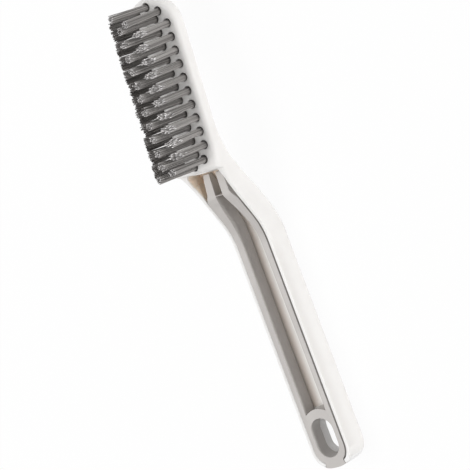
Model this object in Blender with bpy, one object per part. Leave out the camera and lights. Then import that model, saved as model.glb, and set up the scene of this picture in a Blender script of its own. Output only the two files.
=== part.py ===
"""Bathroom cleaning brush: a white moulded handle and head, a grey liner frame in the handle,
and forty-eight bristle tufts. The brush lies on the flat back of its handle, +X runs to the
tip of the head and the bristles point up."""

import math

import bmesh
import bpy
import numpy as np
from mathutils import Vector

# Whole brush
brush_length = 0.2261
fit_gap = 0.0003

# Handle
handle_width = 0.0207
handle_depth = 0.0145
handle_end_length = 0.0107
handle_back_radius = 0.0028
rim_wall = 0.0015
rim_edge_radius = 0.00035
tray_depth = 0.0073
tray_depth_at_slot = 0.0063

# Neck, seen from the side
rim_bend_before_head = 0.02946
rim_bend_radius = 0.030
neck_angle = math.radians(27.2)
back_bend_before_head = 0.02856
back_bend_radius = 0.030
back_second_before_head = 0.01286
back_second_radius = 0.030
back_second_angle = math.radians(39.7)
back_head_radius = 0.025
widening_start_before_head = 0.01276
widening_length = 0.024

# Head
head_width = 0.028
head_length = 0.0804
head_thickness = 0.00620
head_tilt = math.radians(7.1)
head_tip_length = 0.0135
head_edge_radius = 0.0012
head_back_radius = 0.0016
head_step_length = 0.0013
head_step_rise = 0.0034
tray_end_lean = 0.002
tray_end_half_width = 0.0094
tray_widening_length = 0.015

# Hang slot
slot_width = 0.0111
slot_head_centre_from_end = 0.01800
slot_end_centre_from_end = 0.01065
slot_back_radius = 0.0018

# Liner
block_depth = 0.0060
liner_edge_radius = 0.00025
web_radius = 0.0100
channel_end_before_head = 0.01166
cross_wall = 0.0009
channel_station_shares = (0.2536, 0.4036, 0.6475, 0.7975, 0.91)
channel_width_shares = (0.66, 0.64, 0.595, 0.577, 0.434)
channel_tip_width_share = 0.244
shoulder_start_before_head = 0.01676
shoulder_length = 0.006
prong_start_share = 0.726
prong_middle_share = 0.655
prong_end_share = 0.44
prong_middle_before_head = 0.00576
prong_top_before_head = 0.01076
prong_top_radius = 0.004
prong_top_fall = 0.0013
prong_gap_start = 0.0041
prong_gap_end = 0.0025
tab_width = 0.0094
tab_thickness = 0.0021
tab_start_from_end = 0.00455

# Bristle field
hole_diameter = 0.0036
hole_depth = 0.0042
tuft_pitch = 0.00618
tuft_shift = 0.0003
stations = 12
outer_row_y = 0.0082
outer_row_end_y = 0.0054
inner_row_y = 0.0021
end_tuft_station_share = 0.48

# Bristles
tuft_radius = 0.0015
tuft_tip_radius = 0.00186
strand_root_inset = 0.00004
strand_root_height = 0.0004
trim_height = 0.0273
trim_stations_y = (0.0, 0.002, 0.004, 0.0066, 0.0085, 0.0101, 0.0112)
trim_shares = (1.0, 0.965, 0.905, 0.86, 0.73, 0.563, 0.44)

# Facets
end_steps = 10
arc_steps = 24
hole_sides = 12


def clear_scene():
    """Take the start objects out of the scene."""
    for obj in list(bpy.data.objects):
        bpy.data.objects.remove(obj, do_unlink=True)


def material(name, colour, roughness):
    """One plain material for one kind of piece."""
    made = bpy.data.materials.new(name)
    made.use_nodes = True
    shader = made.node_tree.nodes["Principled BSDF"]
    shader.inputs["Base Color"].default_value = (*colour, 1.0)
    shader.inputs["Roughness"].default_value = roughness
    return made


def mesh_object(name, verts, faces, paint=None):
    """Mesh object whose faces point outwards."""
    mesh = bpy.data.meshes.new(name)
    mesh.from_pydata([(x - overhang / 2, y, z) for x, y, z in verts], [], faces)
    builder = bmesh.new()
    builder.from_mesh(mesh)
    bmesh.ops.recalc_face_normals(builder, faces=builder.faces[:])
    builder.to_mesh(mesh)
    builder.free()
    mesh.update()
    obj = bpy.data.objects.new(name, mesh)
    bpy.context.scene.collection.objects.link(obj)
    if paint is not None:
        mesh.materials.append(paint)
    return obj


def cut(obj, cutter, kind="DIFFERENCE"):
    """Boolean of an object with a helper body that isn't part of the brush."""
    cutter.hide_render = True
    cutter.display_type = "WIRE"
    change = obj.modifiers.new(cutter.name, "BOOLEAN")
    change.operation = kind
    change.solver = "EXACT"
    change.object = cutter


def rounded_path(corners, radii):
    """Dense points of a line in X and Z whose inner corners are rounded."""
    points = [corners[0]]
    for before, corner, after, radius in zip(corners, corners[1:], corners[2:], radii):
        here = Vector(corner)
        back = (Vector(before) - here).normalized()
        ahead = (Vector(after) - here).normalized()
        turn = math.pi - back.angle(ahead)
        reach = radius * math.tan(turn / 2)
        start = here + back * reach
        centre = here + (back + ahead).normalized() * (radius / math.cos(turn / 2))
        arm = start - centre
        side = back.x * ahead.y - back.y * ahead.x
        for step in range(arc_steps + 1):
            angle = turn * step / arc_steps * (1 if side < 0 else -1)
            turned = Vector(
                (
                    arm.x * math.cos(angle) - arm.y * math.sin(angle),
                    arm.x * math.sin(angle) + arm.y * math.cos(angle),
                )
            )
            points.append(tuple(centre + turned))
    points.append(corners[-1])
    return np.array(points)


def smooth_share(value):
    """Share that starts and ends level."""
    held = min(max(value, 0.0), 1.0)
    return held * held * (3 - 2 * held)


# Places that follow from the sizes
handle_end_x = -brush_length / 2
end_centre_x = handle_end_x + handle_end_length
head_tip_x = brush_length / 2
tip_centre_x = head_tip_x - head_tip_length
head_centre_x = head_tip_x - head_length / 2
step_x = head_centre_x - (head_length / 2 - fit_gap) * math.cos(head_tilt)
slot_head_centre_x = handle_end_x + slot_head_centre_from_end
slot_end_centre_x = handle_end_x + slot_end_centre_from_end
tab_start_x = handle_end_x + tab_start_from_end
rim_bend_x = step_x - rim_bend_before_head
back_bend_x = step_x - back_bend_before_head
back_second_x = step_x - back_second_before_head
widening_start_x = step_x - widening_start_before_head
channel_end_x = step_x - channel_end_before_head
shoulder_start_x = step_x - shoulder_start_before_head
prong_middle_x = step_x - prong_middle_before_head
prong_end_x = step_x - tray_end_lean - fit_gap
prong_top_x = step_x - prong_top_before_head
face_slope = math.tan(head_tilt)
neck_slope = math.tan(neck_angle)
rim_top = handle_depth
block_edge_x = slot_head_centre_x + web_radius
last_tuft_along = ((stations - 1) / 2 + end_tuft_station_share) * tuft_pitch - tuft_shift
overhang = (
    head_centre_x
    + (last_tuft_along + tuft_tip_radius) * math.cos(head_tilt)
    + trim_height * math.sin(head_tilt)
    - head_tip_x
)


def face_height(x):
    """Height of the face of the head, which falls towards the tip."""
    ridge = rim_top + (step_x - rim_bend_x) * neck_slope
    return ridge + head_step_rise - (x - step_x) * face_slope


def rim_line():
    """Side view of the top of the rim: level, a bend, then the slope of the neck."""
    top_x = head_tip_x
    corners = [
        (handle_end_x, rim_top),
        (rim_bend_x, rim_top),
        (top_x, rim_top + (top_x - rim_bend_x) * neck_slope),
    ]
    return rounded_path(corners, [rim_bend_radius])


def back_line():
    """Side view of the back: level, two bends up the neck, then the tilted back of the head."""
    second_z = (back_second_x - back_bend_x) * neck_slope
    drop = head_thickness / math.cos(head_tilt)
    rise = math.tan(back_second_angle)
    face_drop = face_height(back_second_x) - drop - second_z
    head_x = back_second_x + face_drop / (rise + face_slope)
    corners = [
        (handle_end_x, 0.0),
        (back_bend_x, 0.0),
        (back_second_x, second_z),
        (head_x, face_height(head_x) - drop),
        (head_tip_x, face_height(head_tip_x) - drop),
    ]
    return rounded_path(corners, [back_bend_radius, back_second_radius, back_head_radius])


def liner_top_line():
    """Side view of the top of the liner: with the rim, then almost level along the prongs."""
    start = (prong_top_x, rim_top + (prong_top_x - rim_bend_x) * neck_slope)
    corners = [
        (handle_end_x, rim_top),
        (rim_bend_x, rim_top),
        start,
        (prong_end_x + prong_top_radius, start[1] - prong_top_fall),
    ]
    return rounded_path(corners, [rim_bend_radius, prong_top_radius])


rim_points = rim_line()
back_points = back_line()
back_arc_end_x = back_points[-2][0]
liner_points = liner_top_line()


def height_on(points, x):
    """Height of a side line at one X."""
    return float(np.interp(x, points[:, 0], points[:, 1]))


def rim_height(x):
    return height_on(rim_points, x)


def back_height(x):
    return height_on(back_points, x)


def liner_top(x):
    return height_on(liner_points, x)


def tray_floor(x):
    """Height of the floor of the tray, shallower under the end block of the liner."""
    depth = tray_depth_at_slot if x < block_edge_x - fit_gap else tray_depth
    lean = smooth_share((x - rim_bend_x + rim_bend_radius / 4) / (rim_bend_radius / 2))
    return rim_height(x) - depth * (1 + lean * (1 / math.cos(neck_angle) - 1))


def shell_top(x):
    """Top of the white moulding: rim of the tray, then a rounded step up to the face."""
    if x <= step_x:
        return rim_height(x)
    along = min((x - step_x) / head_step_length, 1.0)
    ridge = rim_height(step_x)
    top = face_height(x)
    return ridge + (top - ridge) * math.sqrt(1 - (1 - along) ** 2)


def shell_half_width(x):
    """Half width of the moulding, with its round ends left out."""
    share = smooth_share((x - widening_start_x) / widening_length)
    return (handle_width + (head_width - handle_width) * share) / 2


def round_end(centre_x, length, half_width, sign):
    """Quarter of an ellipse from the apex to the full width."""
    steps = np.linspace(0.0, math.pi / 2, end_steps + 1)
    points = [
        (centre_x + sign * length * math.cos(a), half_width * math.sin(a)) for a in steps
    ]
    points[0] = (centre_x + sign * length, 0.0)
    return points


def offset_chain(chain, inset):
    """Chain of outline points moved inwards, square to the outline."""
    points = np.array(chain)
    mirrored = points * np.array([1.0, -1.0])
    before = np.vstack([mirrored[1:2], points[:-1]])
    after = np.vstack([points[1:], mirrored[-2:-1]])
    tangent = after - before
    tangent /= np.linalg.norm(tangent, axis=1)[:, None]
    outward = np.stack([-tangent[:, 1], tangent[:, 0]], axis=1)
    insets = np.array([inset(x) if callable(inset) else inset for x in points[:, 0]])
    moved = points - outward * insets[:, None]
    moved[0, 1] = 0.0
    moved[-1, 1] = 0.0
    return moved


def ring_body(name, chain, levels, paint=None):
    """Closed body of rings above each other. Each level gives the inset of its ring, a
    function that gives its height at an X, and one that moves its points along X."""
    verts = []
    faces = []
    count = len(chain)
    size = 2 * count - 2
    for inset, height, shift in levels:
        points = offset_chain(chain, inset)
        if shift is not None:
            points = np.array([(shift(x), y) for x, y in points])
        loop = list(map(tuple, points)) + [(x, -y) for x, y in points[-2:0:-1]]
        verts += [(x, y, height(x)) for x, y in loop]
    for level in range(len(levels) - 1):
        low = level * size
        high = low + size
        for i in range(size):
            j = (i + 1) % size
            faces.append((low + i, low + j, high + j, high + i))
    for start in (0, (len(levels) - 1) * size):
        faces.append((start, start + 1, start + size - 1))
        for i in range(1, count - 2):
            faces.append((start + i, start + i + 1, start + size - i - 1, start + size - i))
        faces.append((start + count - 2, start + count - 1, start + count))
    return mesh_object(name, verts, faces, paint)


def prism(name, outline, low, high):
    """Upright body with one outline."""
    count = len(outline)
    verts = [(x, y, low) for x, y in outline] + [(x, y, high) for x, y in outline]
    faces = [tuple(range(count)), tuple(range(count, 2 * count))]
    for i in range(count):
        j = (i + 1) % count
        faces.append((i, j, count + j, count + i))
    return mesh_object(name, verts, faces)


def rounding(radius, top, steps):
    """Insets and drops of a rounded edge, from the side to the flat."""
    turns = [math.pi / 2 * step / steps for step in range(steps + 1)]
    pairs = [(radius * (1 - math.cos(a)), radius * (1 - math.sin(a))) for a in turns]
    return pairs if top else pairs[::-1]


def shell_chain():
    """Outline of the moulding from the end of the handle to the tip of the head."""
    start = round_end(end_centre_x, handle_end_length, shell_half_width(end_centre_x), -1)
    tip = round_end(tip_centre_x, head_tip_length, head_width / 2, 1)[::-1]
    bend = np.linspace(rim_bend_x - rim_bend_radius / 4, widening_start_x, 11)
    neck = np.linspace(widening_start_x, widening_start_x + widening_length, 11)
    step = [step_x + head_step_length * (1 - math.cos(math.pi / 2 * s / 5)) for s in range(6)]
    back = np.linspace(widening_start_x + widening_length, back_arc_end_x, 7)
    straight = sorted(set([*bend, *neck, *step, *back]))
    middle = [(x, shell_half_width(x)) for x in straight]
    return start + [(block_edge_x, handle_width / 2)] + middle + tip


def head_share(x):
    """How much of the head's rounding a place along the brush has."""
    return smooth_share((x - widening_start_x) / (step_x - widening_start_x))


def shell_levels():
    """Rings of the moulding, from its back to its top."""
    levels = []
    for s in range(5):
        turn = math.pi / 2 * (4 - s) / 4

        def inset(x, turn=turn):
            return back_radius(x) * (1 - math.cos(turn))

        def height(x, turn=turn):
            return back_height(x) + back_radius(x) * (1 - math.sin(turn))

        levels.append((inset, height, None))
    for s in range(4):
        turn = math.pi / 2 * s / 3

        def inset(x, turn=turn):
            return top_radius(x) * (1 - math.cos(turn))

        def height(x, turn=turn):
            return shell_top(x) - top_radius(x) * (1 - math.sin(turn))

        levels.append((inset, height, None))
    return levels


def back_radius(x):
    return handle_back_radius + (head_back_radius - handle_back_radius) * head_share(x)


def top_radius(x):
    return rim_edge_radius + (head_edge_radius - rim_edge_radius) * head_share(x)


def tray_half_width(x, gap):
    """Half width of the tray, or of what lies in it with a gap all round."""
    handle = handle_width / 2 - rim_wall
    share = smooth_share((x - step_x + tray_widening_length) / tray_widening_length)
    return handle + (tray_end_half_width - handle) * share - gap


def tray_cutter():
    """Body that hollows the handle into a tray, with its end wall leaning."""
    length = handle_end_length - rim_wall
    start = round_end(end_centre_x, length, tray_half_width(end_centre_x, 0.0), -1)
    bend = np.linspace(rim_bend_x - rim_bend_radius / 4, step_x - tray_end_lean, 14)
    middle = [(x, tray_half_width(x, 0.0)) for x in bend]
    ledge = [
        (block_edge_x - fit_gap * 1.1, handle_width / 2 - rim_wall),
        (block_edge_x - fit_gap, handle_width / 2 - rim_wall),
    ]
    end = [(step_x, tray_end_half_width), (step_x + fit_gap / 10, 0.0)]
    lean_start = step_x - tray_widening_length

    def leaning(share):
        def shift(x):
            if x < lean_start:
                return x
            return lean_start + (x - lean_start) * (
                1 - tray_end_lean / tray_widening_length * (1 - share)
            )

        return shift

    above = handle_depth / 2
    rise = head_thickness + above
    chain = start + ledge + middle + end
    levels = [
        (0.0, tray_floor, leaning(0.0)),
        (0.0, lambda x: rim_height(x) + above / 4, leaning(1.0)),
        (0.0, lambda x: rim_height(x) + rise, leaning(1.0)),
    ]
    return ring_body("tray_cutter", chain, levels)


def slot_outline(grow, steps):
    """Outline of the hang slot: two half circles joined by straight sides."""
    radius = slot_width / 2 + grow
    points = []
    for s in range(steps + 1):
        a = math.pi / 2 + math.pi * s / steps
        points.append((slot_end_centre_x + radius * math.cos(a), radius * math.sin(a)))
    for s in range(steps + 1):
        a = -math.pi / 2 + math.pi * s / steps
        points.append((slot_head_centre_x + radius * math.cos(a), radius * math.sin(a)))
    return points


def slot_cutter():
    """Body of the hang slot, wider at the back where its rim is rounded."""
    steps = 16
    verts = []
    faces = []
    rings = [(slot_back_radius, -slot_back_radius)]
    for s in range(4):
        turn = math.pi / 2 * (3 - s) / 3
        rings.append(
            (slot_back_radius * (1 - math.cos(turn)), slot_back_radius * (1 - math.sin(turn)))
        )
    rings.append((0.0, handle_depth * 2))
    for grow, height in rings:
        verts += [(x, y, height) for x, y in slot_outline(grow, steps)]
    size = 2 * (steps + 1)
    for level in range(len(rings) - 1):
        low = level * size
        for i in range(size):
            j = (i + 1) % size
            faces.append((low + i, low + j, low + size + j, low + size + i))
    faces.append(tuple(range(size)))
    last = size * (len(rings) - 1)
    faces.append(tuple(range(last, last + size)))
    return mesh_object("slot_cutter", verts, faces)


def box(name, low, high):
    """Box between two corners."""
    outline = [(low[0], low[1]), (high[0], low[1]), (high[0], high[1]), (low[0], high[1])]
    return prism(name, outline, low[2], high[2])


def tuft_places():
    """Places of the tufts on the face: along the head from its centre, and across."""
    places = []
    middle = (stations - 1) / 2
    for k in range(stations):
        along = (k - middle) * tuft_pitch + tuft_shift
        across = outer_row_end_y if k in (0, stations - 1) else outer_row_y
        places += [(along, across), (along, -across)]
    for k in range(stations - 1):
        along = (k + 0.5 - middle) * tuft_pitch + tuft_shift
        places += [(along, inner_row_y), (along, -inner_row_y)]
    for k in (-end_tuft_station_share, stations - 1 + end_tuft_station_share / 1.3):
        places.append(((k - middle) * tuft_pitch + tuft_shift, 0.0))
    return sorted(places, key=lambda place: (round(place[0], 6), place[1]))


def on_head(along, across, up):
    """Point over the face of the head; along runs towards the neck."""
    base = Vector((head_centre_x, 0.0, face_height(head_centre_x)))
    towards_neck = Vector((-math.cos(head_tilt), 0.0, math.sin(head_tilt)))
    normal = Vector((math.sin(head_tilt), 0.0, math.cos(head_tilt)))
    return base + towards_neck * along + Vector((0.0, across, 0.0)) + normal * up


def hole_cutter(places):
    """Blind round holes for the tufts, all in one helper body."""
    verts = []
    faces = []
    for along, across in places:
        first = len(verts)
        for up in (-hole_depth, hole_depth):
            for s in range(hole_sides):
                a = 2 * math.pi * (s + 0.5) / hole_sides
                verts.append(
                    on_head(
                        along + hole_diameter / 2 * math.cos(a),
                        across + hole_diameter / 2 * math.sin(a),
                        up,
                    )
                )
        faces.append(tuple(first + s for s in range(hole_sides)))
        faces.append(tuple(first + hole_sides + s for s in range(hole_sides)))
        for s in range(hole_sides):
            t = (s + 1) % hole_sides
            low = first + hole_sides
            faces.append((first + s, first + t, low + t, low + s))
    return mesh_object("hole_cutter", verts, faces)


def handle_shell(paint, places):
    """White moulding: handle, neck and head in one piece."""
    shell = ring_body("handle_shell", shell_chain(), shell_levels(), paint)
    cut(shell, tray_cutter())
    cut(shell, slot_cutter())
    notch_low = (handle_end_x - tab_thickness, -tab_width / 2 - fit_gap,
                 rim_top - tab_thickness - fit_gap)
    notch_high = (end_centre_x - handle_width / 3, tab_width / 2 + fit_gap,
                  rim_top + tab_thickness)
    cut(shell, box("notch_cutter", notch_low, notch_high))
    cut(shell, hole_cutter(places))
    return shell


def liner_half_width(x):
    """Half width of the liner: full in the handle, a shoulder, then the prongs."""
    full = tray_half_width(x, fit_gap)
    if x <= shoulder_start_x:
        return full
    prong = full * prong_start_share
    shoulder = smooth_share((x - shoulder_start_x) / shoulder_length)
    width = full + (prong - full) * shoulder
    if x > shoulder_start_x + shoulder_length:
        start = shoulder_start_x + shoulder_length
        along = (x - start) / (prong_middle_x - start)
        width = full * np.interp(
            along,
            [0.0, 1.0, (prong_end_x - start) / (prong_middle_x - start)],
            [prong_start_share, prong_middle_share, prong_end_share],
        )
    return width


def liner_floor(x):
    """Underside of the liner, a gap above the floor of the tray."""
    if x < block_edge_x + fit_gap / 10:
        return rim_top - block_depth
    return tray_floor(x) + fit_gap


def channel_outline():
    """Outline of the long channel: round boss at the slot end, narrow at the cross wall."""
    full = handle_width - 2 * rim_wall - 2 * fit_gap
    halves = [share * full / 2 for share in channel_width_shares]
    tip = channel_tip_width_share * full / 2
    reach = channel_end_x - block_edge_x
    side = [
        (block_edge_x + reach * share, half)
        for share, half in zip(channel_station_shares, halves)
    ]
    side.append((channel_end_x, tip))
    start_half = halves[0]
    arc = []
    for s in range(9):
        y = start_half * (1 - s / 8)
        arc.append((slot_head_centre_x + math.sqrt(web_radius**2 - y**2), y))
    upper = arc[::-1] + side
    return upper + [(x, -y) for x, y in upper[:0:-1]]


def tab_outline():
    """Outline of the tab, whose end lies in the round end of the handle."""
    outline = []
    for s in range(9):
        y = tab_width / 2 * (s / 4 - 1)
        reach = handle_end_length * math.sqrt(1 - (y / (handle_width / 2)) ** 2)
        outline.append((end_centre_x - reach, y))
    return outline + [(tab_start_x, tab_width / 2), (tab_start_x, -tab_width / 2)]


def liner(paint):
    """Grey frame in the tray: rails, end block with the slot, tab, cross wall and prongs."""
    length = handle_end_length - rim_wall - fit_gap
    start = round_end(end_centre_x, length, tray_half_width(end_centre_x, fit_gap), -1)
    full = tray_half_width(handle_end_x, fit_gap)
    ledge = [(block_edge_x, full), (block_edge_x + fit_gap / 5, full)]
    bend = np.linspace(rim_bend_x - rim_bend_radius / 4, shoulder_start_x, 9)
    neck = np.linspace(shoulder_start_x, prong_end_x, 13)
    xs = sorted(set([*bend, *neck]))
    middle = [(x, liner_half_width(x)) for x in xs]
    end = [(prong_end_x + fit_gap / 10, 0.0)]
    chain = start + ledge + middle + end
    top = liner_edge_radius
    levels = [
        (0.0, liner_floor, None),
        (0.0, lambda x: liner_top(x) - top, None),
        (top, liner_top, None),
    ]
    frame = ring_body("grip_liner", chain, levels, paint)
    cut(frame, prism("tab_body", tab_outline(), rim_top - tab_thickness, rim_top), "UNION")
    outline = slot_outline(0.0, 16)
    cut(frame, prism("liner_slot_cutter", outline, -handle_depth, 3 * handle_depth))
    cut(frame, prism("channel_cutter", channel_outline(), -handle_depth, 3 * handle_depth))
    gap_start = channel_end_x + cross_wall
    gap_end = prong_end_x + cross_wall
    outline = [
        (gap_start, -prong_gap_start / 2),
        (gap_end, -prong_gap_end / 2),
        (gap_end, prong_gap_end / 2),
        (gap_start, prong_gap_start / 2),
    ]
    cut(frame, prism("prong_gap_cutter", outline, -handle_depth, 3 * handle_depth))
    return frame


def trim(across):
    """Height to which the bristles are cut, lower towards the sides."""
    return trim_height * float(np.interp(abs(across), trim_stations_y, trim_shares))


def plug_grid():
    """Points of a three by three grid whose border lies on a circle."""
    points = {}
    for i in range(4):
        for j in range(4):
            u = i - 1.5
            v = j - 1.5
            if i in (0, 3) or j in (0, 3):
                angle = math.atan2(v, u)
                points[i, j] = (math.cos(angle), math.sin(angle))
            else:
                points[i, j] = (u * 0.62, v * 0.62)
    return points


grid = plug_grid()


def tuft(name, paint, along, across):
    """One tuft: a round root in its hole and eight four-sided strands that splay a little."""
    border = [(i, 0) for i in range(3)] + [(3, j) for j in range(3)]
    border += [(i, 3) for i in range(3, 0, -1)] + [(0, j) for j in range(3, 0, -1)]
    verts = []
    faces = []
    low = fit_gap - hole_depth

    def point(share_x, share_y, radius, up):
        verts.append(on_head(along + radius * share_x, across + radius * share_y, up))
        return len(verts) - 1

    bottom = [point(*grid[key], tuft_radius, low) for key in border]
    top = {key: point(*grid[key], tuft_radius, 0.0) for key in grid}
    faces.append(tuple(bottom))
    for s, key in enumerate(border):
        after = border[(s + 1) % len(border)]
        faces.append((bottom[s], bottom[(s + 1) % len(border)], top[after], top[key]))
    inset = 1 - strand_root_inset * 3 / tuft_radius
    for i in range(3):
        for j in range(3):
            corners = [(i, j), (i + 1, j), (i + 1, j + 1), (i, j + 1)]
            ring = [top[key] for key in corners]
            if i == 1 and j == 1:
                faces.append(tuple(ring))
                continue
            shares = np.array([grid[key] for key in corners])
            middle = shares.mean(axis=0)
            roots = []
            tips = []
            for share in shares:
                inner = middle + (share - middle) * inset
                roots.append(point(*inner, tuft_radius, strand_root_height))
                end_y = across + tuft_tip_radius * inner[1]
                tips.append(point(*inner, tuft_tip_radius, trim(end_y)))
            for s in range(4):
                t = (s + 1) % 4
                faces.append((ring[s], ring[t], roots[t], roots[s]))
                faces.append((roots[s], roots[t], tips[t], tips[s]))
            faces.append(tuple(tips))
    return mesh_object(name, verts, faces, paint)


def build():
    """All pieces of the brush."""
    clear_scene()
    white = material("white_plastic", (0.88, 0.87, 0.86), 0.35)
    grey = material("grey_plastic", (0.56, 0.54, 0.52), 0.5)
    nylon = material("grey_bristles", (0.24, 0.23, 0.22), 0.6)
    places = tuft_places()
    handle_shell(white, places)
    liner(grey)
    for number, (along, across) in enumerate(places, start=1):
        tuft(f"tuft_{number:02d}", nylon, along, across)


build()
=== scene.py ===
import math

import bmesh
import bpy
import numpy as np
from mathutils import Matrix, Vector


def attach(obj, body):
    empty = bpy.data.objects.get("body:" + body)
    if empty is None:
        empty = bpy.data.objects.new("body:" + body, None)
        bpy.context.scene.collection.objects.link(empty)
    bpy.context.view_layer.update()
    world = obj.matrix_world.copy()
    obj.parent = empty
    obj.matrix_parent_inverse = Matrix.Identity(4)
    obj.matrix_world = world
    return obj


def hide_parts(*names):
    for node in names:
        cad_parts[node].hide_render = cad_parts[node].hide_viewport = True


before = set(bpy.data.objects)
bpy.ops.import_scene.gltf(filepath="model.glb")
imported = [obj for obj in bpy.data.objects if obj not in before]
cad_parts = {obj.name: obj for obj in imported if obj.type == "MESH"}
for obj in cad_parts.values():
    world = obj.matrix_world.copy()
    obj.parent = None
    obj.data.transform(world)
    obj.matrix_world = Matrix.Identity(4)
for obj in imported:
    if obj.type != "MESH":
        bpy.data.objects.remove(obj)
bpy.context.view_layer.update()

# The photographer's table: a seamless white sweep, which shows almost pure white to the camera
# and still takes a faint shadow where the brush lies on it.
sweep_size = 6.0
sweep_below_brush = 0.0002
sweep_own_light = 0.95
bpy.ops.object.select_all(action="DESELECT")
bpy.ops.mesh.primitive_plane_add(size=sweep_size, location=(0.0, 0.0, -sweep_below_brush))
table_top = bpy.context.object
table_top.name = "table_top"
table_paint = bpy.data.materials.new("white_sweep")
table_paint.use_nodes = True
nodes = table_paint.node_tree.nodes
links = table_paint.node_tree.links
paper = nodes["Principled BSDF"]
paper.inputs["Base Color"].default_value = (0.9, 0.9, 0.9, 1.0)
paper.inputs["Roughness"].default_value = 0.9
paper.inputs["Specular IOR Level"].default_value = 0.1
backlight = nodes.new("ShaderNodeEmission")
backlight.inputs["Color"].default_value = (1.0, 1.0, 1.0, 1.0)
backlight.inputs["Strength"].default_value = 1.0
seen = nodes.new("ShaderNodeLightPath")
seen_or_mirrored = nodes.new("ShaderNodeMath")
seen_or_mirrored.operation = "MAXIMUM"
or_through = nodes.new("ShaderNodeMath")
or_through.operation = "MAXIMUM"
shown = nodes.new("ShaderNodeMath")
shown.operation = "MULTIPLY"
shown.inputs[1].default_value = sweep_own_light
blend = nodes.new("ShaderNodeMixShader")
links.new(seen.outputs["Is Camera Ray"], seen_or_mirrored.inputs[0])
links.new(seen.outputs["Is Glossy Ray"], seen_or_mirrored.inputs[1])
links.new(seen_or_mirrored.outputs[0], or_through.inputs[0])
links.new(seen.outputs["Is Transmission Ray"], or_through.inputs[1])
links.new(or_through.outputs[0], shown.inputs[0])
links.new(shown.outputs[0], blend.inputs[0])
links.new(paper.outputs[0], blend.inputs[1])
links.new(backlight.outputs[0], blend.inputs[2])
links.new(blend.outputs[0], nodes["Material Output"].inputs["Surface"])
table_top.data.materials.append(table_paint)

# Soft studio light: an even room, a large soft box high on the far side, which leaves the far
# walls of the handle's channel dark, and a long low strip that lights the near side.
room_strength = 0.36
world = bpy.data.worlds.new("studio_room")
bpy.context.scene.world = world
world.use_nodes = True
room = world.node_tree.nodes["Background"]
room.inputs["Color"].default_value = (1.0, 0.995, 0.985, 1.0)
room.inputs["Strength"].default_value = room_strength
lamps = [
    ("soft_box", (0.10, 0.40, 1.28), 1.2, 0.8, 12.8),
    ("low_strip", (0.0, -1.50, 0.16), 1.8, 0.12, 12.0),
]
for lamp_name, lamp_place, width, height, power in lamps:
    light = bpy.data.lights.new(lamp_name, "AREA")
    light.shape = "RECTANGLE"
    light.size = width
    light.size_y = height
    light.energy = power
    lamp = bpy.data.objects.new(lamp_name, light)
    lamp.location = lamp_place
    lamp.rotation_mode = "QUATERNION"
    lamp.rotation_quaternion = Vector(lamp_place).to_track_quat("Z", "Y")
    bpy.context.scene.collection.objects.link(lamp)

# The camera: a long lens that looks down on the brush from its near side, turned so that the
# handle runs from the top of the picture to its lower right.
lens_distance = 3.5
frame_width = 0.206695
sensor_width = 36.0
look_at = Vector((0.0006933, -0.0002233, 0.0245032))
camera_azimuth = math.radians(-77.862)
camera_elevation = math.radians(51.706)
camera_roll = math.radians(-120.206)
level = Vector((-math.sin(camera_azimuth), math.cos(camera_azimuth), 0.0))
back = Vector((math.cos(camera_azimuth), math.sin(camera_azimuth), math.tan(camera_elevation)))
back.normalize()
upright = back.cross(level)
right = level * math.cos(camera_roll) + upright * math.sin(camera_roll)
up = upright * math.cos(camera_roll) - level * math.sin(camera_roll)
camera_data = bpy.data.cameras.new("camera")
camera_data.sensor_width = sensor_width
camera_data.lens = sensor_width * lens_distance / frame_width
camera_data.clip_start = 0.1
camera_data.clip_end = 50.0
camera = bpy.data.objects.new("camera", camera_data)
camera.matrix_world = Matrix(
    (
        (right.x, up.x, back.x, look_at.x + back.x * lens_distance),
        (right.y, up.y, back.y, look_at.y + back.y * lens_distance),
        (right.z, up.z, back.z, look_at.z + back.z * lens_distance),
        (0.0, 0.0, 0.0, 1.0),
    )
)
bpy.context.scene.collection.objects.link(camera)
bpy.context.scene.camera = camera
bpy.context.scene.view_settings.view_transform = "Standard"

# The white moulding: handle, neck and head in one injection-moulded piece of white plastic.
# The handle is a shallow tray with a thin rim, pierced by the hang slot, whose mouth at the
# back is wide, and the head is drilled for the tufts.
brush_middle_x = -0.0005726
brush_half_length = 0.1129
handle_end_x = brush_middle_x - brush_half_length
head_tip_x = brush_middle_x + brush_half_length
handle_half = 0.01035
end_length = 0.0107
end_fullness = 2.6
end_centre_x = handle_end_x + end_length
head_half = 0.014
tip_length = 0.0135
tip_centre_x = head_tip_x - tip_length
head_tilt = math.radians(6.1)
head_thickness = 0.0062
head_centre_before_tip = 0.0402
head_half_length = 0.0399
head_centre_x = head_tip_x - head_centre_before_tip
step_x = head_centre_x - head_half_length * math.cos(head_tilt)
lip_height = 0.00335
lip_length = 0.0026
rim_top = 0.0145
rim_wall = 0.00165
tray_depth = 0.0081
block_tray_depth = 0.0076
tray_half_at_head = 0.0094
slot_head_x = handle_end_x + 0.0175
slot_tail_x = handle_end_x + 0.0109
slot_radius = 0.0058
boss_radius = 0.0102
block_edge_x = slot_head_x + boss_radius
bend_radius = 0.030
under_bend_radius = 0.025
rim_bend_x = step_x - 0.03304
back_bend_x = step_x - 0.03188
back_second_x = step_x - 0.01240
widening_before_step = 0.01276
widening_length = 0.024
widening_x = step_x - widening_before_step
pocket_start_x = step_x - 0.0045
neck_angle = math.radians(27.3)
under_neck_angle = math.radians(40.9)
neck_slope = math.tan(neck_angle)
ridge_z = rim_top + (step_x - rim_bend_x) * neck_slope


def ease(value):
    """Goes softly from 0 to 1 as the value does."""
    held = min(max(value, 0.0), 1.0)
    return held * held * (3.0 - 2.0 * held)


def face_z(x):
    """Height of the face of the head, in which the tufts stand."""
    return ridge_z + lip_height - (x - step_x) * math.tan(head_tilt)


corner_steps = 40


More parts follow.
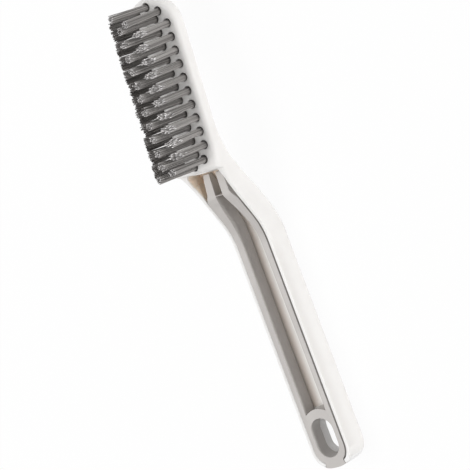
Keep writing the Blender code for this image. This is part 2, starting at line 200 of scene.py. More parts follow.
def side_line(corners, radii):
    """Side view of an edge as points (X, Z), with its corners rounded."""
    points = [corners[0]]
    for before, corner, after, radius in zip(corners, corners[1:], corners[2:], radii):
        here = Vector(corner)
        behind = (Vector(before) - here).normalized()
        ahead = (Vector(after) - here).normalized()
        turn = math.pi - behind.angle(ahead)
        reach = radius * math.tan(turn / 2)
        for step in range(corner_steps + 1):
            share = step / corner_steps
            first = here + behind * reach * (1 - share)
            second = here + ahead * reach * share
            points.append(tuple(first.lerp(second, share)))
    points.append(corners[-1])
    return np.array(points)


rim_line = side_line(
    [(handle_end_x, rim_top), (rim_bend_x, rim_top), (step_x, ridge_z)], [bend_radius]
)
back_drop = head_thickness / math.cos(head_tilt)
second_z = (back_second_x - back_bend_x) * neck_slope
climb = math.tan(under_neck_angle)
under_x = back_second_x + (face_z(back_second_x) - back_drop - second_z) / (
    climb + math.tan(head_tilt)
)
back_line = side_line(
    [
        (handle_end_x, 0.0),
        (back_bend_x, 0.0),
        (back_second_x, second_z),
        (under_x, face_z(under_x) - back_drop),
        (head_tip_x, face_z(head_tip_x) - back_drop),
    ],
    [bend_radius, bend_radius, under_bend_radius],
)


def line_z(line, x):
    """Height of a side line at an X."""
    return float(np.interp(x, line[:, 0], line[:, 1]))


def moulding_top(x):
    """Top of the piece: the rim, then a soft lip that climbs to the face of the head."""
    if x <= step_x:
        return line_z(rim_line, x)
    share = min((x - step_x) / lip_length, 1.0)
    return ridge_z + (face_z(x) - ridge_z) * math.sqrt(1.0 - (1.0 - share) ** 2)


def moulding_half(x):
    """Half the width of the moulding."""
    return handle_half + (head_half - handle_half) * ease((x - widening_x) / widening_length)


def head_part(x):
    """0 on the handle and 1 on the head."""
    return ease((x - widening_x) / widening_before_step)


tray_widening_length = 0.015


def tray_half(x):
    """Half the width of the tray."""
    handle = handle_half - rim_wall
    start_x = step_x - tray_widening_length
    return handle + (tray_half_at_head - handle) * ease((x - start_x) / tray_widening_length)


first_end_angle = math.radians(2.0)
end_steps = 20


def round_end(centre_x, length, half, sign, fullness=2.0):
    """Plan of a round end, from near its apex to its full width."""
    points = []
    for a in np.linspace(first_end_angle, math.pi / 2, end_steps):
        reach = length * abs(math.cos(a)) ** (2 / fullness)
        points.append((centre_x + sign * reach, half * math.sin(a) ** (2 / fullness)))
    return points


def handle_end(inset):
    """Plan of the handle's end, set in from the outside."""
    return round_end(end_centre_x, end_length - inset, handle_half - inset, -1, end_fullness)


def inward(chain, inset):
    """Plan moved inwards, square to itself at the round ends and across the brush between."""
    points = np.array(chain)
    before = np.vstack([points[:1] * (1, -1), points[:-1]])
    after = np.vstack([points[1:], points[-1:] * (1, -1)])
    along = after - before
    along /= np.linalg.norm(along, axis=1)[:, None]
    out = np.stack([-along[:, 1], along[:, 0]], axis=1)
    between = (points[:, 0] > end_centre_x) & (points[:, 0] < tip_centre_x)
    out[between] = (0.0, 1.0)
    depth = np.array([inset(x) for x in points[:, 0]])
    return points - out * depth[:, None]


def place(obj, chain, height):
    """Sets the selected strip of faces on a plan, at the height given for each X."""
    mesh = bmesh.from_edit_mesh(obj.data)
    strip_verts = [v for v in mesh.verts if v.select]
    for side in (1.0, -1.0):
        row = sorted((v for v in strip_verts if v.co.y * side > 0), key=lambda v: v.co.x)
        for v, (x, y) in zip(row, chain, strict=True):
            v.co = (x, y * side, height(x))
    bmesh.update_edit_mesh(obj.data)


def pick_faces(obj, test):
    """Selects the faces that pass a test."""
    bpy.ops.mesh.select_all(action="DESELECT")
    mesh = bmesh.from_edit_mesh(obj.data)
    mesh.normal_update()
    for face in mesh.faces:
        if test(face):
            face.select_set(True)
    bmesh.update_edit_mesh(obj.data)


def strip(name, chain, height):
    """A plane, cut into a strip along X and set on a plan; left open in edit mode."""
    bpy.ops.object.select_all(action="DESELECT")
    bpy.ops.mesh.primitive_grid_add(
        x_subdivisions=len(chain) - 1, y_subdivisions=1, size=1.0
    )
    obj = bpy.context.object
    obj.name = name
    bpy.ops.object.mode_set(mode="EDIT")
    bpy.ops.mesh.select_all(action="SELECT")
    place(obj, chain, height)
    return obj


def extrude_up(distance):
    """Extrudes the selected faces of the piece in hand along Z."""
    bpy.ops.mesh.extrude_region_move(TRANSFORM_OT_translate={"value": (0.0, 0.0, distance)})


def close_solid():
    """Turns the faces of the piece in hand outwards and leaves edit mode."""
    bpy.ops.mesh.select_all(action="SELECT")
    bpy.ops.mesh.normals_make_consistent(inside=False)
    bpy.ops.object.mode_set(mode="OBJECT")


def carve(obj, cutter, operation="DIFFERENCE"):
    """Cuts one piece with another, or joins them; the other is then thrown away."""
    change = obj.modifiers.new("cut", "BOOLEAN")
    change.operation = operation
    change.solver = "EXACT"
    change.object = cutter
    bpy.ops.object.select_all(action="DESELECT")
    bpy.context.view_layer.objects.active = obj
    obj.select_set(True)
    bpy.ops.object.modifier_apply(modifier=change.name)
    bpy.data.objects.remove(cutter, do_unlink=True)


handle_plan = handle_end(0.0)
tip_plan = round_end(tip_centre_x, tip_length, head_half, 1)[::-1]
before_bend = 0.0085
bend_steps = 20
neck_steps = 22
under_steps = 8
lip_steps = 12
ledge_x = [block_edge_x - 0.0006, block_edge_x - 0.0003]
bend_x = np.linspace(rim_bend_x - before_bend, widening_x, bend_steps)
neck_x = np.linspace(widening_x, widening_x + widening_length, neck_steps)
lip_turns = [math.pi / 2 * s / lip_steps for s in range(lip_steps + 1)]
rise_x = [step_x + lip_length * (1 - math.cos(turn)) for turn in lip_turns]
under_arc_x = np.linspace(widening_x + widening_length, back_line[-2][0], under_steps)
middle_x = sorted(set([*bend_x, *neck_x, pocket_start_x, *rise_x, *under_arc_x]))
moulding_plan = (
    handle_plan
    + [(x, handle_half) for x in ledge_x]
    + [(x, moulding_half(x)) for x in middle_x]
    + tip_plan
)
back_radius_on_handle = 0.0032
back_radius_on_head = 0.0016
edge_radius_on_handle = 0.00035
edge_radius_on_neck = 0.0012
edge_radius_on_head = 0.0021
edge_growth_length = 0.006
touching = 1e-6
smooth_under = math.radians(30)


def back_round(x):
    """Radius of the moulding's edges at its back."""
    smaller = back_radius_on_handle - back_radius_on_head
    return back_radius_on_handle - smaller * head_part(x)


def edge_round(x):
    """Radius of the moulding's edges at its top."""
    on_neck = (edge_radius_on_neck - edge_radius_on_handle) * head_part(x)
    on_head = (edge_radius_on_head - edge_radius_on_neck) * ease((x - step_x) / edge_growth_length)
    return edge_radius_on_handle + on_neck + on_head


def round_start(x):
    """Height at which the round edges of the back start."""
    return line_z(back_line, x) + back_round(x)


def lies_on(face, height):
    """Tells whether a face lies at the height given for each X."""
    return all(abs(v.co.z - height(v.co.x)) < touching for v in face.verts)


edge_steps = 4
back_steps = 6
first_lift = 0.001
first_inset = 0.00001
moulding = strip("white_moulding", moulding_plan, round_start)
extrude_up(first_lift)
place(moulding, moulding_plan, lambda x: moulding_top(x) - edge_round(x))
for step in range(1, edge_steps + 1):
    turn = math.pi / 2 * step / edge_steps
    plan = inward(moulding_plan, lambda x: edge_round(x) * (1 - math.cos(turn)))
    bpy.ops.mesh.inset(thickness=first_inset)
    place(moulding, plan, lambda x: moulding_top(x) - edge_round(x) * (1 - math.sin(turn)))
pick_faces(moulding, lambda face: lies_on(face, round_start))
for step in range(1, back_steps + 1):
    turn = math.pi / 2 * step / back_steps
    plan = inward(moulding_plan, lambda x: back_round(x) * (1 - math.cos(turn)))
    bpy.ops.mesh.inset(thickness=first_inset)
    place(
        moulding,
        plan,
        lambda x: line_z(back_line, x) + back_round(x) * (1 - math.sin(turn)),
    )
bpy.ops.mesh.select_all(action="SELECT")
bpy.ops.mesh.normals_make_consistent(inside=False)
pick_faces(
    moulding,
    lambda face: face.calc_center_median().x < pocket_start_x and lies_on(face, moulding_top),
)
tray_x = [x for x in middle_x if x < pocket_start_x + touching]
rim_chamfer = 0.00018
rim_chamfer_drop = 0.00016
tray_end_step = 0.00012
tray_first_inset = 0.00005
for inset, drop in ((rim_wall - rim_chamfer, 0.0), (rim_wall, rim_chamfer_drop)):
    tray_x[-1] -= tray_end_step
    tray_plan = handle_end(inset) + [(x, handle_half - inset) for x in ledge_x]
    tray_plan += [(x, tray_half(x) + rim_wall - inset) for x in tray_x]
    bpy.ops.mesh.inset(thickness=tray_first_inset)
    place(moulding, tray_plan, lambda x: line_z(rim_line, x) - drop)


ledge_middle_x = block_edge_x - 0.00035
lean_length = 0.015


def tray_floor(x):
    """Height of the tray's floor, which is less deep round the hang slot."""
    depth = block_tray_depth if x < ledge_middle_x else tray_depth
    lean = ease((x - rim_bend_x + lean_length / 2) / lean_length)
    return line_z(rim_line, x) - depth * (1 + lean * (1 / math.cos(neck_angle) - 1))


extrude_up(-first_lift)
place(moulding, tray_plan, tray_floor)
bpy.ops.object.mode_set(mode="OBJECT")


pocket_half = 0.00941
pocket_length = 0.0062
far_corner_radius = 0.0025
near_corner_radius = 0.0009
end_wall_bow = 0.00065
end_wall_half = 0.0088
end_wall_lean = 0.002
corner_sweep = math.radians(80.0)
corner_points = 9
wall_points = 8
first_wall_step = 0.0004


def pocket_plan(lean):
    """Closed plan of the tray's end at the head: round corners, and a wall that bows inwards."""
    start = step_x - pocket_length
    loop = []
    for side, radius in ((1, far_corner_radius), (-1, near_corner_radius)):
        points = [(start, pocket_half)]
        for a in np.linspace(0.0, corner_sweep, corner_points):
            x = step_x - radius + radius * math.sin(a)
            points.append((x, pocket_half - radius + radius * math.cos(a)))
        for y in np.linspace(points[-1][1] - first_wall_step, 0.0, wall_points):
            bow = end_wall_bow * math.cos(math.pi / 2 * y / end_wall_half) ** 2
            points.append((step_x - bow, y))
        shorter = 1 - lean / pocket_length
        half_loop = [(start + (x - start) * shorter, y * side) for x, y in points]
        loop += half_loop if side == 1 else half_loop[-2::-1]
    return loop


bpy.ops.object.select_all(action="DESELECT")
bpy.ops.mesh.primitive_circle_add(vertices=len(pocket_plan(0.0)), fill_type="NGON")
pocket = bpy.context.object
bpy.ops.object.mode_set(mode="EDIT")


def set_loop(obj, plan, height):
    """Sets the selected ring of points on a closed plan."""
    mesh = bmesh.from_edit_mesh(obj.data)
    cap = next(face for face in mesh.faces if face.select)
    for v, (x, y) in zip([loop.vert for loop in cap.loops], plan, strict=True):
        v.co = (x, y, height(x))
    bmesh.update_edit_mesh(obj.data)


floor_overcut = 0.00001
wall_top_over_rim = 0.0001
pocket_cut_over_rim = 0.006
bpy.ops.mesh.select_all(action="SELECT")
set_loop(pocket, pocket_plan(end_wall_lean), lambda x: tray_floor(x) - floor_overcut)
for over_rim in (wall_top_over_rim, pocket_cut_over_rim):
    extrude_up(first_lift)
    set_loop(pocket, pocket_plan(0.0), lambda x: line_z(rim_line, x) + over_rim)
close_solid()
carve(moulding, pocket)


slot_first_angle = math.radians(3.0)
slot_steps = 16


def slot_plan(grow):
    """Plan of the hang slot, made wider all round."""
    radius = slot_radius + grow
    quarter = np.linspace(slot_first_angle, math.pi / 2, slot_steps)
    tail = [(slot_tail_x - radius * math.cos(a), radius * math.sin(a)) for a in quarter]
    head = [(slot_head_x + radius * math.cos(a), radius * math.sin(a)) for a in quarter]
    return tail + head[::-1]


mouth_widening = 0.0064
mouth_start_z = -0.0038
slot_levels = [(-0.0005, 0.0036), (0.0009, 0.0074), (0.0009, 0.02)]
slot_cutter = strip("slot_cutter", slot_plan(mouth_widening), lambda x: mouth_start_z)
for grow, height in slot_levels:
    extrude_up(first_lift)
    place(slot_cutter, slot_plan(grow), lambda x: height)
close_solid()
carve(moulding, slot_cutter)


tab_root = 0.0046
tab_stations = [(-0.0010, 0.0063), (0.0010, 0.0055), (0.0022, 0.0050), (0.0034, 0.0050)]
tab_stations += [(tab_root, 0.0052)]
notch_gap = 0.0003
notch_depth = 0.0024
notch_cut_height = 0.005


def tab_sides(gap):
    """Plan of the tab: a waist where it leaves the liner, then it flares to its end."""
    return [(handle_end_x + x, y + gap) for x, y in tab_stations]


notch = strip("notch", tab_sides(notch_gap), lambda x: rim_top - notch_depth)
extrude_up(notch_cut_height)
close_solid()
carve(moulding, notch)

tuft_pitch = 0.00618
outer_row = 0.0088
outer_row_at_tip = 0.00575
outer_row_at_neck = 0.0064
inner_row = 0.0029
tip_tuft = -0.0368946
neck_tuft = 0.0362243
outer_tufts = 12
inner_tufts = 11
hole_radius = 0.00205
drill_length = 0.0084
hole_places = []
for k in range(outer_tufts):
    along = (k - (outer_tufts - 1) / 2) * tuft_pitch
    across = {0: outer_row_at_tip, outer_tufts - 1: outer_row_at_neck}.get(k, outer_row)
    hole_places += [(along, across), (along, -across)]
for k in range(inner_tufts):
    along = (k - (inner_tufts - 1) / 2) * tuft_pitch
    hole_places += [(along, inner_row), (along, -inner_row)]
hole_places += [(tip_tuft, 0.0), (neck_tuft, 0.0)]
to_neck = Vector((-math.cos(head_tilt), 0.0, math.sin(head_tilt)))
face_up = Vector((math.sin(head_tilt), 0.0, math.cos(head_tilt)))
head_middle = Vector((head_centre_x, 0.0, face_z(head_centre_x)))


def on_head(along, across, height):
    """A place on the head: along it to the neck, across it, and off its face."""
    return head_middle + to_neck * along + Vector((0.0, across, 0.0)) + face_up * height


bpy.ops.object.select_all(action="DESELECT")
bpy.ops.mesh.primitive_cylinder_add(vertices=32, radius=hole_radius, depth=drill_length)
drill = bpy.context.object
bpy.ops.object.mode_set(mode="EDIT")
bit = bmesh.from_edit_mesh(drill.data)
one_bit = bit.verts[:] + bit.edges[:] + bit.faces[:]
for along, across in hole_places:
    copied = bmesh.ops.duplicate(bit, geom=one_bit)["geom"]
    verts = [item for item in copied if isinstance(item, bmesh.types.BMVert)]
    for v in verts:
        v.co = on_head(along - v.co.x, across + v.co.y, v.co.z)
bmesh.ops.delete(bit, geom=[v for v in one_bit if isinstance(v, bmesh.types.BMVert)])
bmesh.update_edit_mesh(drill.data)
close_solid()
carve(moulding, drill)
bpy.ops.object.shade_smooth_by_angle(angle=smooth_under)


def moulded_plastic(name, shades, gloss, grain, grain_depth):
    """Plastic from a mould: a faint mottle, uneven gloss and a fine grain."""
    paint = bpy.data.materials.new(name)
    paint.use_nodes = True
    tree = paint.node_tree
    shader = tree.nodes["Principled BSDF"]
    spot = tree.nodes.new("ShaderNodeTexCoord")
    mottle = tree.nodes.new("ShaderNodeTexNoise")
    mottle.inputs["Scale"].default_value = 90.0
    mottle.inputs["Detail"].default_value = 3.0
    tone = tree.nodes.new("ShaderNodeValToRGB")
    tone.color_ramp.elements[0].position = 0.3
    tone.color_ramp.elements[1].position = 0.7
    for element, shade in zip(tone.color_ramp.elements, shades):
        element.color = (*shade, 1.0)
    wear = tree.nodes.new("ShaderNodeTexNoise")
    wear.inputs["Scale"].default_value = 260.0
    wear.inputs["Detail"].default_value = 4.0
    sheen = tree.nodes.new("ShaderNodeMapRange")
    sheen.inputs["From Min"].default_value = 0.3
    sheen.inputs["From Max"].default_value = 0.7
    sheen.inputs["To Min"].default_value = gloss[0]
    sheen.inputs["To Max"].default_value = gloss[1]
    skin = tree.nodes.new("ShaderNodeTexNoise")
    skin.inputs["Scale"].default_value = grain
    skin.inputs["Detail"].default_value = 2.0
    relief = tree.nodes.new("ShaderNodeBump")
    relief.inputs["Strength"].default_value = 1.0
    relief.inputs["Distance"].default_value = grain_depth
    for texture in (mottle, wear, skin):
        tree.links.new(spot.outputs["Object"], texture.inputs["Vector"])
    tree.links.new(mottle.outputs["Fac"], tone.inputs["Fac"])
    tree.links.new(tone.outputs["Color"], shader.inputs["Base Color"])
    tree.links.new(wear.outputs["Fac"], sheen.inputs["Value"])
    tree.links.new(sheen.outputs["Result"], shader.inputs["Roughness"])
    tree.links.new(skin.outputs["Fac"], relief.inputs["Height"])
    tree.links.new(relief.outputs["Normal"], shader.inputs["Normal"])
    return paint


def tint(paint, colour, strength, bands):
    """Tints a paint where its bands overlap. A band starts and ends softly along a direction."""
    tree = paint.node_tree
    shader = tree.nodes["Principled BSDF"]
    source = shader.inputs["Base Color"].links[0].from_socket
    spot = tree.nodes.new("ShaderNodeTexCoord")
    amount = None
    for direction, start, end in bands:
        distance = tree.nodes.new("ShaderNodeVectorMath")
        distance.operation = "DOT_PRODUCT"
        distance.inputs[1].default_value = direction
        band = tree.nodes.new("ShaderNodeMapRange")
        band.interpolation_type = "SMOOTHSTEP"
        band.inputs["From Min"].default_value = start
        band.inputs["From Max"].default_value = end
        band.inputs["To Max"].default_value = strength if amount is None else 1.0
        tree.links.new(spot.outputs["Object"], distance.inputs[0])
        tree.links.new(distance.outputs["Value"], band.inputs["Value"])
        if amount is None:
            amount = band.outputs["Result"]
            continue
        both = tree.nodes.new("ShaderNodeMath")
        both.operation = "MULTIPLY"
        tree.links.new(amount, both.inputs[0])
        tree.links.new(band.outputs["Result"], both.inputs[1])
        amount = both.outputs[0]
    mix = tree.nodes.new("ShaderNodeMix")
    mix.data_type = "RGBA"
    mix.inputs[7].default_value = (*colour, 1.0)
    tree.links.new(amount, mix.inputs[0])
    tree.links.new(source, mix.inputs[6])
    tree.links.new(mix.outputs[2], shader.inputs["Base Color"])


moulding_paint = moulded_plastic(
    "white_moulded_plastic",
    shades=((0.87, 0.852, 0.834), (0.90, 0.885, 0.868)),
    gloss=(0.36, 0.50),
    grain=2600.0,
    grain_depth=0.00002,
)
milky = moulding_paint.node_tree.nodes["Principled BSDF"]
milky.inputs["Subsurface Weight"].default_value = 0.5
milky.inputs["Subsurface Radius"].default_value = (1.0, 1.0, 1.0)
milky.inputs["Subsurface Scale"].default_value = 0.0020
along_brush = (1.0, 0.0, 0.0)
across_brush = (0.0, 1.0, 0.0)
upwards = (0.0, 0.0, 1.0)
off_neck = (-math.sin(neck_angle), 0.0, math.cos(neck_angle))
rim_off_neck = off_neck[0] * step_x + off_neck[2] * ridge_z
in_tray = [(upwards, 0.004, 0.005), (off_neck, 0.0020, 0.0035)]
# Painted shade: the pocket at the neck end of the tray, from a little short of the middle to the
# far wall and below the rim, is painted a warm tan where shade falls in it.
painted_pocket_shade, painted_pocket_shade_share = (0.84, 0.71, 0.575), 0.85
pocket_shade_bands = [
    (along_brush, step_x - 0.019, step_x - 0.016),
    (along_brush, step_x + 0.0006, step_x + 0.0001),
    (off_neck, rim_off_neck - 0.0003, rim_off_neck - 0.0015),
    (across_brush, -0.0030, -0.0020),
    (across_brush, 0.0100, 0.0097),
]
tint(moulding_paint, painted_pocket_shade, painted_pocket_shade_share, in_tray + pocket_shade_bands)
# Painted shade: the channel's floor along the foot of its far wall, from the block round the slot
# to short of the neck, is painted a darker tan where the far wall shades it.
painted_crease_shade, painted_crease_shade_share = (0.80, 0.69, 0.59), 0.6
crease_shade_bands = [
    (along_brush, step_x - 0.016, step_x - 0.019),
    (along_brush, block_edge_x - 0.001, block_edge_x),
    (across_brush, 0.0, 0.0052),
    (across_brush, 0.0086, 0.0080),
]
tint(moulding_paint, painted_crease_shade, painted_crease_shade_share, in_tray + crease_shade_bands)
# Painted light: round the hang slot the white is painted lighter, so that the slot's inner walls
# look lit.
painted_slot_light, painted_slot_light_share = (0.97, 0.965, 0.955), 1.0
slot_light_bands = [
    (along_brush, slot_head_x + 0.0080, slot_head_x + 0.0075),
    (across_brush, -0.0085, -0.0080),
    (across_brush, 0.0085, 0.0080),
]
tint(moulding_paint, painted_slot_light, painted_slot_light_share, slot_light_bands)
# Painted shade: the near side of the handle is painted darker from halfway up towards its rim.
painted_side_shade, painted_side_shade_share = (0.79, 0.77, 0.75), 0.9
side_shade_bands = [
    (upwards, 0.0070, 0.0138),
    (across_brush, -0.01005, -0.01025),
    (along_brush, 0.0, -0.02),
]
tint(moulding_paint, painted_side_shade, painted_side_shade_share, side_shade_bands)
moulding.data.materials.append(moulding_paint)
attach(moulding, "root")
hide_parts("handle_shell")

# The liner: a light grey frame in the tray, two rails and an end block round the hang slot,
# with a tab at its end, a thin cross wall at the neck and two prongs up to the head. It is
# moulded on its own and pressed into the tray, with a dark line round it, wider on the near side.
liner_gap = 0.00048
liner_shift = 0.00028
liner_top = rim_top + 0.00012
liner_over_floor = 0.0003
liner_edge_radius = 0.0002
block_thickness = 0.0073
tab_thickness = 0.0021
shoulder_x = step_x - 0.01676
prong_top_x = step_x - 0.0135
channel_end_x = step_x - 0.0130
prong_middle_x = step_x - 0.00576
prong_end_x = step_x - 0.0026
prong_top_z = liner_top + (prong_top_x - rim_bend_x) * neck_slope
prong_bend_radius = 0.004
prong_run = 0.004
prong_drop = 0.0013
liner_line = side_line(
    [
        (handle_end_x - 0.001, liner_top),
        (rim_bend_x, liner_top),
        (prong_top_x, prong_top_z),
        (prong_end_x + prong_run, prong_top_z - prong_drop),
    ],
    [bend_radius, prong_bend_radius],
)
shoulder_length = 0.006
shoulder_end_x = shoulder_x + shoulder_length
prong_shares = [0.726, 0.655, 0.57]


def liner_half(x):
    """Half the width of the liner: full on the handle, then it narrows to its prongs."""
    full = tray_half(x) - liner_gap
    if x <= shoulder_x:
        return full
    if x <= shoulder_end_x:
        return full * (1 - (1 - prong_shares[0]) * ease((x - shoulder_x) / shoulder_length))
    prong_x = [shoulder_end_x, prong_middle_x, prong_end_x]
    return full * float(np.interp(x, prong_x, prong_shares))


def liner_floor(x):
    """Underside of the liner: a thinner block round the slot, and rails on the tray's floor."""
    if x < block_edge_x + touching:
        return rim_top - block_thickness
    return tray_floor(x) + liner_over_floor


def press_to_far_wall():
    """Moves the mesh in hand across the brush, as the liner lies against its far wall."""
    bpy.ops.mesh.select_all(action="SELECT")
    bpy.ops.transform.translate(value=(0.0, liner_shift, 0.0))


liner_bend_steps = 22
liner_prong_steps = 28
liner_x = [*np.linspace(rim_bend_x - before_bend, shoulder_x, liner_bend_steps)]
liner_x += [*np.linspace(shoulder_x, prong_end_x, liner_prong_steps)][1:]
block_step_length = 0.0001
full_half = handle_half - rim_wall - liner_gap
liner_plan = handle_end(rim_wall + liner_gap)
liner_plan += [(block_edge_x, full_half), (block_edge_x + block_step_length, full_half)]
liner_plan += [(x, liner_half(x)) for x in liner_x]
liner = strip("grip_frame", liner_plan, liner_floor)
extrude_up(first_lift)
place(liner, liner_plan, lambda x: line_z(liner_line, x))
press_to_far_wall()
close_solid()


def handle_end_reach(y):
    """How far the round end of the handle reaches at a Y."""
    inner = 1 - (abs(y) / handle_half) ** end_fullness
    return end_centre_x - end_length * inner ** (1 / end_fullness)


bpy.ops.object.select_all(action="DESELECT")
bpy.ops.mesh.primitive_grid_add(x_subdivisions=8, y_subdivisions=12, size=1.0)
tab = bpy.context.object
bpy.ops.object.mode_set(mode="EDIT")
mesh = bmesh.from_edit_mesh(tab.data)
tab_line = np.array(tab_sides(0.0))
root_x = handle_end_x + tab_root
tab_mean_half = 0.0056
tab_tries = 3
for v in mesh.verts:
    share = v.co.x + 0.5
    y = v.co.y * 2 * tab_mean_half
    for _ in range(tab_tries):
        x = handle_end_reach(y) + (root_x - handle_end_reach(y)) * share
        y = v.co.y * 2 * float(np.interp(x, tab_line[:, 0], tab_line[:, 1]))
    v.co = (x, y, liner_top - tab_thickness)
bmesh.update_edit_mesh(tab.data)
bpy.ops.mesh.select_all(action="SELECT")
extrude_up(tab_thickness)
close_solid()
carve(liner, tab, "UNION")

slot_setback = 0.00015
cut_through = 0.05
slot_cutter = strip("slot_cutter", slot_plan(slot_setback), lambda x: 0.0)
extrude_up(cut_through)
press_to_far_wall()
close_solid()
carve(liner, slot_cutter)

channel_reach = channel_end_x - block_edge_x
channel_shares = [0.257, 0.409, 0.656, 0.808, 0.922, 1.0]
channel_halves = [0.00573, 0.00555, 0.0053, 0.00505, 0.00375, 0.00208]
channel_start_x = slot_head_x + 0.0083
channel_first_share = 0.02
channel_steps = 40
channel_plan = [(channel_start_x, channel_halves[0])]
for share in np.linspace(channel_first_share, 1.0, channel_steps):
    half = float(np.interp(share, channel_shares, channel_halves))
    channel_plan.append((block_edge_x + channel_reach * share, half))
channel = strip("channel", channel_plan, lambda x: 0.0)
extrude_up(cut_through)
press_to_far_wall()
close_solid()
bpy.ops.object.select_all(action="DESELECT")
bpy.ops.mesh.primitive_cylinder_add(
    vertices=96, radius=boss_radius, depth=2 * cut_through, location=(slot_head_x, 0.0, 0.0)
)
carve(channel, bpy.context.object)
carve(liner, channel)
cross_wall = 0.00025
gap_half_at_wall = 0.00205
gap_half_at_end = 0.00182
gap_end_x = prong_end_x + 0.001
gap_plan = [(channel_end_x + cross_wall, gap_half_at_wall), (gap_end_x, gap_half_at_end)]
gap = strip("prong_gap", gap_plan, lambda x: 0.0)
extrude_up(cut_through)
press_to_far_wall()
close_solid()
carve(liner, gap)
soften = liner.modifiers.new("soften", "BEVEL")
soften.width = liner_edge_radius
soften.segments = 2
soften.limit_method = "ANGLE"
soften.angle_limit = math.radians(40)
bpy.ops.object.modifier_apply(modifier=soften.name)
bpy.ops.object.shade_smooth_by_angle(angle=smooth_under)
liner_paint = moulded_plastic(
    "grey_moulded_plastic",
    shades=((0.53, 0.505, 0.487), (0.575, 0.55, 0.53)),
    gloss=(0.48, 0.62),
    grain=1800.0,
    grain_depth=0.00003,
)
liner.data.materials.append(liner_paint)
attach(liner, "root")
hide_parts("grip_liner")

# The tufts: bundles of grey nylon filaments that stand in the drilled holes, splayed a little
# at the tips and trimmed to a dome across the head. One filament is modelled and copied, and
# each tuft's copies are bent and cut in its own mesh.
filament_radius = 0.0002
filament_bends = (0.14, 0.4, 0.7)
filament_smooth_under = math.radians(75)
bpy.ops.object.select_all(action="DESELECT")
bpy.ops.mesh.primitive_cylinder_add(
    vertices=6, radius=filament_radius, depth=1.0, end_fill_type="NGON"
)
filament = bpy.context.object
bpy.ops.object.mode_set(mode="EDIT")
for bend_share in filament_bends:
    bpy.ops.mesh.select_all(action="SELECT")
    bpy.ops.mesh.bisect(plane_co=(0.0, 0.0, bend_share - 0.5), plane_no=(0.0, 0.0, 1.0))
bpy.ops.object.mode_set(mode="OBJECT")
strand = np.array([v.co[:] for v in filament.data.vertices]) + (0.0, 0.0, 0.5)
strand_faces = [tuple(p.vertices) for p in filament.data.polygons]
faces_along = 0.9
strand_ends = [abs(p.normal.z) > faces_along for p in filament.data.polygons]
bpy.data.objects.remove(filament, do_unlink=True)

side_layout_share = 0.9
cut_end_layout = 0.95
bristle_paint = bpy.data.materials.new("grey_nylon")
bristle_paint.use_nodes = True
tree = bristle_paint.node_tree
nylon = tree.nodes["Principled BSDF"]
nylon.inputs["Roughness"].default_value = 0.42
layout = tree.nodes.new("ShaderNodeUVMap")
layout.uv_map = "UVMap"
parts = tree.nodes.new("ShaderNodeSeparateXYZ")
hue = tree.nodes.new("ShaderNodeValToRGB")
hue.color_ramp.elements[0].position = 0.1
hue.color_ramp.elements[0].color = (0.20, 0.188, 0.180, 1.0)
hue.color_ramp.elements[1].position = 0.9
hue.color_ramp.elements[1].color = (0.46, 0.44, 0.425, 1.0)
# Painted highlight: the cut ends are painted from dark to near white at random, lighter on the
# whole than the filaments' sides; this gives a painted highlight with a random speckle.
cut_end = tree.nodes.new("ShaderNodeMath")
cut_end.operation = "GREATER_THAN"
cut_end.inputs[1].default_value = cut_end_layout
painted_end_highlight = tree.nodes.new("ShaderNodeValToRGB")
painted_end_highlight.color_ramp.elements[0].color = (0.10, 0.09, 0.09, 1.0)
painted_end_highlight.color_ramp.elements[1].color = (1.0, 0.98, 0.98, 1.0)
painted_highlight_mix = tree.nodes.new("ShaderNodeMix")
painted_highlight_mix.data_type = "RGBA"
tree.links.new(parts.outputs["X"], painted_end_highlight.inputs["Fac"])
tree.links.new(painted_end_highlight.outputs["Color"], painted_highlight_mix.inputs[7])
tree.links.new(layout.outputs["UV"], parts.inputs[0])
tree.links.new(parts.outputs["X"], hue.inputs["Fac"])
tree.links.new(parts.outputs["Y"], cut_end.inputs[0])
tree.links.new(cut_end.outputs[0], painted_highlight_mix.inputs[0])
tree.links.new(hue.outputs["Color"], painted_highlight_mix.inputs[6])
tree.links.new(painted_highlight_mix.outputs[2], nylon.inputs["Base Color"])

trim_line = [
    (-0.0112, 0.0127),
    (-0.01042, 0.0154),
    (-0.00877, 0.0210),
    (-0.00712, 0.0243),
    (-0.00477, 0.0249),
    (-0.00292, 0.02595),
    (-0.00107, 0.0266),
    (0.0, 0.0267),
    (0.00107, 0.0265),
    (0.00292, 0.02535),
    (0.00477, 0.0235),
    (0.00712, 0.0198),
    (0.00877, 0.0178),
    (0.01042, 0.01525),
    (0.0112, 0.0141),
]
trim_y, trim_z = zip(*trim_line)
strand_pitch = 0.00044
strand_row_share = 0.866
tuft_radius = 0.00142
lattice_reach = 6
root_depth = 0.0039
root_bend_depth = 0.0015
root_spread = 0.25
tuft_shift_along = 0.0002
tuft_shift_across = 0.0003
far_outer_splay = (1.12, 1.0, 0.0004)
far_inner_splay = (1.4, 1.0, 0.0004)
near_outer_splay = (1.12, 1.05, 0.0008)
near_inner_splay = (1.2, 1.0, 0.0003)
far_ragged, far_short_share = 0.0006, 0.25
near_ragged, near_short_share = 0.0004, 0.12
short_by = (0.0004, 0.0020)
# Painted shade: the far outer tufts are painted darker, by a random amount for each tuft; the
# other tufts vary only a little at random.
far_outer_painted_shade = (0.3, 1.0)
other_brightness = (0.8, 1.0)
stray_share = 0.1
stray_splay = 1.3
root_jitter = 0.00003
tip_jitter = 0.00012
tuft_jitter = 0.00008
tuft_trim_jitter = 0.0009
longest_over_trim = 0.00015
dome_drop = 0.0009
first_seed = 100


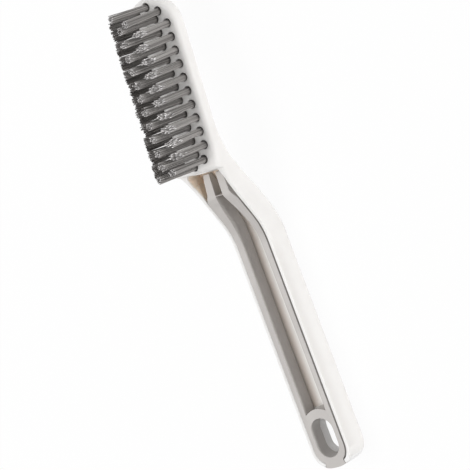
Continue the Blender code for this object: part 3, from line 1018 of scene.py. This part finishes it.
def tuft_lattice(turn):
    """Places of the filaments in one tuft: a close packing, turned about the tuft."""
    places = []
    for i in range(-lattice_reach, lattice_reach + 1):
        for j in range(-lattice_reach, lattice_reach + 1):
            a = strand_pitch * (i + 0.5 * (j % 2))
            b = strand_pitch * strand_row_share * j
            if math.hypot(a, b) <= tuft_radius:
                turned_a = a * math.cos(turn) - b * math.sin(turn)
                places.append((turned_a, a * math.sin(turn) + b * math.cos(turn)))
    return places


def filament_points(along, across, root, tip, cut):
    """One filament: spread in its hole, straight above it, and cut at the trim of the tufts."""
    points = []
    for x, y, share in strand:
        end_across = across + tuft_shift_across + tip[1] + y
        top = float(np.interp(end_across, trim_y, trim_z)) + cut
        height = -root_depth + (top + root_depth) * share
        if height < 0.0:
            spread = 1.0 + root_spread * min(1.0, -height / root_bend_depth)
            lean_a = root[0] * spread
            lean_b = root[1] * spread
        else:
            part = height / top
            lean_a = root[0] + (tip[0] - root[0]) * part
            lean_b = root[1] + (tip[1] - root[1]) * part
        out_along = along + tuft_shift_along + lean_a + x
        out_across = across + tuft_shift_across + lean_b + y
        points.append(on_head(out_along, out_across, height))
    return points


tuft_order = sorted(hole_places, key=lambda spot: (round(spot[0], 6), spot[1]))
for number, (along, across) in enumerate(tuft_order, start=1):
    chance = np.random.default_rng(first_seed + number)
    outer = abs(across) > (inner_row + outer_row_at_tip) / 2
    far = across > 0.0
    if far:
        splay_a, splay_b, lean = far_outer_splay if outer else far_inner_splay
        ragged, short_share = far_ragged, far_short_share
    else:
        splay_a, splay_b, lean = near_outer_splay if outer else near_inner_splay
        ragged, short_share = near_ragged, near_short_share
    turn = chance.uniform(0.0, math.pi)
    set_a, set_b = chance.normal(0.0, tuft_jitter, 2)
    # Painted shade on the far outer tufts, a small random tone on the rest.
    brightness = chance.uniform(*(far_outer_painted_shade if far and outer else other_brightness))
    set_top = -abs(chance.normal(0.0, tuft_trim_jitter)) if far else 0.0
    verts = []
    faces = []
    layout_uv = []
    for a, b in tuft_lattice(turn):
        a += chance.normal(0.0, root_jitter)
        b += chance.normal(0.0, root_jitter)
        stray = stray_splay if chance.random() < stray_share else 1.0
        tip_a = a * splay_a * stray + lean + set_a + chance.normal(0.0, tip_jitter)
        tip_b = b * splay_b + set_b + chance.normal(0.0, tip_jitter)
        short = chance.uniform(*short_by) if chance.random() < short_share else 0.0
        if far:
            short += dome_drop * (math.hypot(a, b) / tuft_radius) ** 3
        cut = min(chance.normal(0.0, ragged) + set_top, longest_over_trim) - short
        shade = chance.uniform(0.0, 1.0) * brightness
        first = len(verts)
        verts += filament_points(along, across, (a, b), (tip_a, tip_b), cut)
        for corners, ends in zip(strand_faces, strand_ends):
            faces.append(tuple(first + c for c in corners[::-1]))
            for c in corners[::-1]:
                layout_uv += [shade, 1.0 if ends else side_layout_share * strand[c][2]]
    data = bpy.data.meshes.new(f"bristle_tuft_{number:02d}")
    data.from_pydata(verts, [], faces)
    data.uv_layers.new(name="UVMap").data.foreach_set("uv", layout_uv)
    tuft = bpy.data.objects.new(f"bristle_tuft_{number:02d}", data)
    bpy.context.scene.collection.objects.link(tuft)
    bpy.ops.object.select_all(action="DESELECT")
    bpy.context.view_layer.objects.active = tuft
    tuft.select_set(True)
    bpy.ops.object.shade_smooth_by_angle(angle=filament_smooth_under)
    data.materials.append(bristle_paint)
    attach(tuft, "root")
    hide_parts(f"tuft_{number:02d}")
